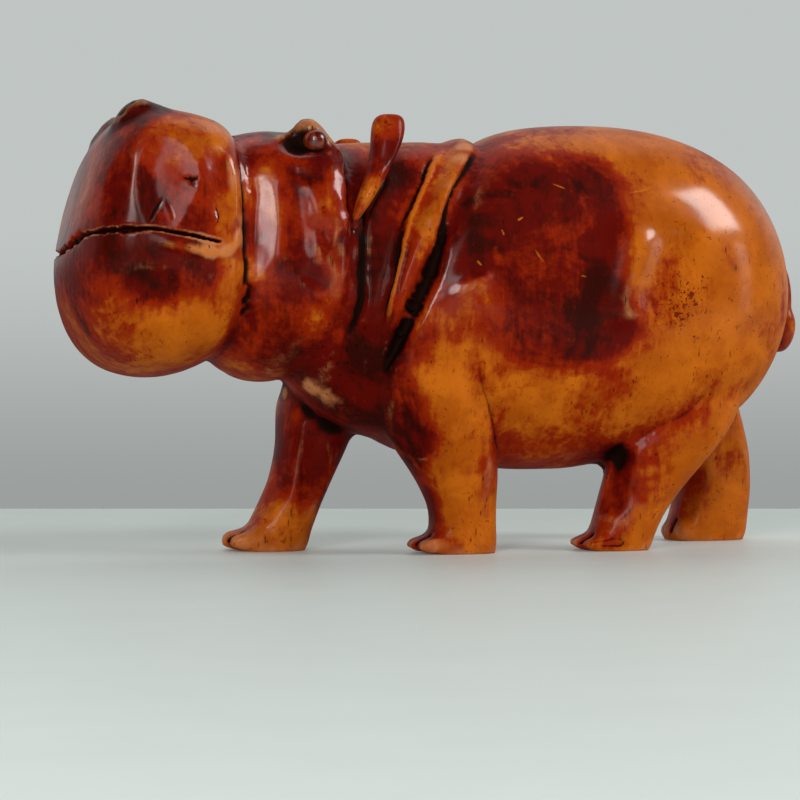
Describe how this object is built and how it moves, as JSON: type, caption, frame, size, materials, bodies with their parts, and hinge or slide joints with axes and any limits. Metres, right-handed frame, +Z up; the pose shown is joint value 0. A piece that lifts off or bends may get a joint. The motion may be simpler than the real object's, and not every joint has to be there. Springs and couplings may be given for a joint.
{
  "type": "carved wooden hippopotamus",
  "caption": "Walking hippopotamus carved from lacquered wood, with a broad muzzle, let-in ears and tail, and domed eye pegs.",
  "frame": {"origin": "on the surface it stands on, under the middle of its length and width", "axes": "+Z up, -X towards the muzzle, -Y towards the animal's left flank"},
  "size_m": [0.2401, 0.0786, 0.1369],
  "materials": {
    "carving_wood": "carved hardwood, stained red-brown and amber, under a thick gloss lacquer",
    "ear_wood": "carved hardwood slip, stained red-brown, gloss lacquer",
    "eye_wood": "turned peg, stained almost black, polished",
    "tail_wood": "carved hardwood slip, stained red-brown, gloss lacquer"
  },
  "bodies": {
    "root": {"body": "carving_wood", "left_ear": "ear_wood", "right_ear": "ear_wood", "left_eye": "eye_wood", "right_eye": "eye_wood", "tail": "tail_wood"}
  },
  "joints": []
}
